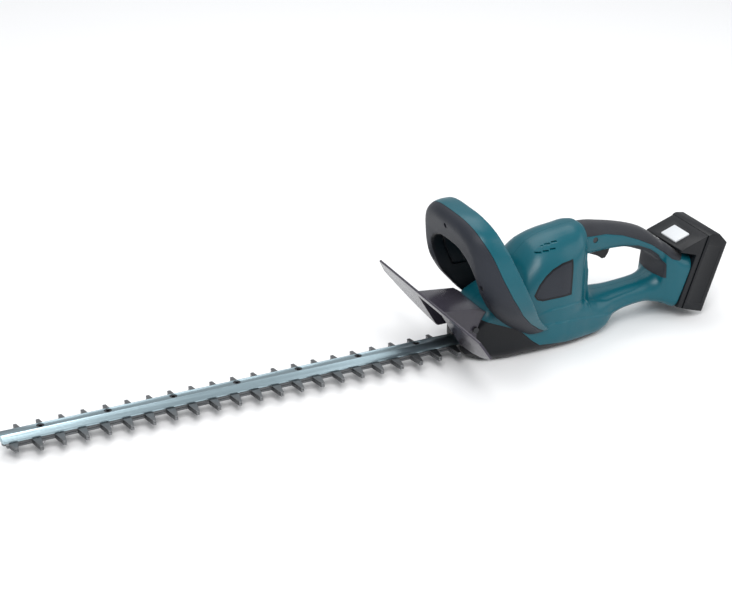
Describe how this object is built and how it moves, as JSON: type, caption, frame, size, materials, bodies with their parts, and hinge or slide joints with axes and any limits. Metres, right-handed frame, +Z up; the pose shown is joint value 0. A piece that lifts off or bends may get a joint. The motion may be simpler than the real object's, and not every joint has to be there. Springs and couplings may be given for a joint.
{
  "type": "cordless hedge trimmer",
  "caption": "Cordless hedge trimmer: long double-sided toothed blade, smoky hand guard, upright loop front handle, teal body with a D-shaped rear grip and a slide-on battery pack.",
  "frame": {"origin": "on the flat underside of the base cover, straight below the crank shaft's axis", "axes": "+X rearward to the battery, -X to the blade's tip, +Z up, +Y to the operator's right"},
  "size_m": [0.8853, 0.25, 0.184],
  "materials": {
    "teal_plastic": "satin",
    "grey_soft": "matte",
    "grey_plastic": "matte",
    "black_plastic": "satin",
    "smoky_plastic": "gloss",
    "button_plastic": "satin",
    "board": "matte",
    "cast_aluminium": "satin",
    "nickel_bar": "gloss",
    "blade_steel": "satin",
    "plain_steel": "satin",
    "dark_screws": "satin",
    "cell_wrap": "satin"
  },
  "bodies": {
    "tool_body": {"housing_left": "teal_plastic", "housing_right": "teal_plastic", "housing_screws": "dark_screws", "grip_overmould": "grey_soft", "badge_left": "grey_plastic", "badge_right": "grey_plastic", "base_cover": "black_plastic", "gear_case": "cast_aluminium", "crank_bearing_lower": "plain_steel", "crank_bearing_upper": "plain_steel", "guide_bar": "nickel_bar", "blade_screws": "dark_screws", "blade_sleeves": "plain_steel", "blade_nuts": "plain_steel", "bar_clamp_screw": "dark_screws", "motor_can": "plain_steel", "motor_magnets": "plain_steel", "motor_end_cap": "black_plastic", "motor_bearing_lower": "plain_steel", "motor_bearing_upper": "plain_steel", "brush_holders": "black_plastic", "front_handle_front_shell": "grey_plastic", "front_handle_rear_shell": "teal_plastic", "handle_screws": "dark_screws", "guard": "smoky_plastic", "guard_screws": "dark_screws", "trigger_pin": "plain_steel", "main_switch": "black_plastic", "control_board": "board", "front_switch": "black_plastic", "terminal_block": "black_plastic"},
    "crank": {"crank_shaft": "plain_steel", "crank_gear": "plain_steel", "upper_cam": "plain_steel", "lower_cam": "plain_steel", "crank_spacer": "plain_steel"},
    "upper_blade_body": {"upper_blade": "blade_steel"},
    "lower_blade_body": {"lower_blade": "blade_steel"},
    "rotor": {"motor_armature": "plain_steel", "motor_pinion": "plain_steel", "motor_fan": "black_plastic"},
    "trigger": {"rear_trigger": "black_plastic"},
    "front_lever": {"front_switch_lever": "black_plastic"},
    "battery": {"battery_case": "black_plastic", "battery_cover": "black_plastic", "battery_cells": "cell_wrap"},
    "button": {"battery_button": "button_plastic"}
  },
  "joints": [
    {"name": "crank_spin", "type": "hinge", "parent": "tool_body", "child": "crank", "pos_m": [0, 0, 0.02], "axis": [0, 0, 1], "continuous": true},
    {"name": "upper_blade_slide", "type": "slide", "parent": "tool_body", "child": "upper_blade_body", "axis": [1, 0, 0], "range_m": [-0.005, 0.005]},
    {"name": "lower_blade_slide", "type": "slide", "parent": "tool_body", "child": "lower_blade_body", "axis": [1, 0, 0], "range_m": [-0.005, 0.005]},
    {"name": "rotor_spin", "type": "hinge", "parent": "tool_body", "child": "rotor", "pos_m": [0.0361, 0, 0.06], "axis": [0, 0, 1], "continuous": true},
    {"name": "trigger_press", "type": "hinge", "parent": "tool_body", "child": "trigger", "pos_m": [0.108, 0, 0.111], "axis": [0, -1, 0], "range_deg": [0, 9], "stiffness_Nm_per_rad": 0.6},
    {"name": "front_lever_press", "type": "slide", "parent": "tool_body", "child": "front_lever", "axis": [-0.4067, 0, 0.9135], "range_m": [0, 0.004], "stiffness_N_per_m": 900},
    {"name": "battery_slide", "type": "slide", "parent": "tool_body", "child": "battery", "axis": [0.3007, 0, 0.9537], "range_m": [0, 0.09]},
    {"name": "battery_button_press", "type": "slide", "parent": "battery", "child": "button", "axis": [0.3236, 0, -0.9462], "range_m": [0, 0.002], "stiffness_N_per_m": 900}
  ],
  "couplings": [
    {"joint": "lower_blade_slide", "follows": "upper_blade_slide", "ratio": -1},
    {"joint": "rotor_spin", "follows": "crank_spin", "ratio": -5}
  ]
}
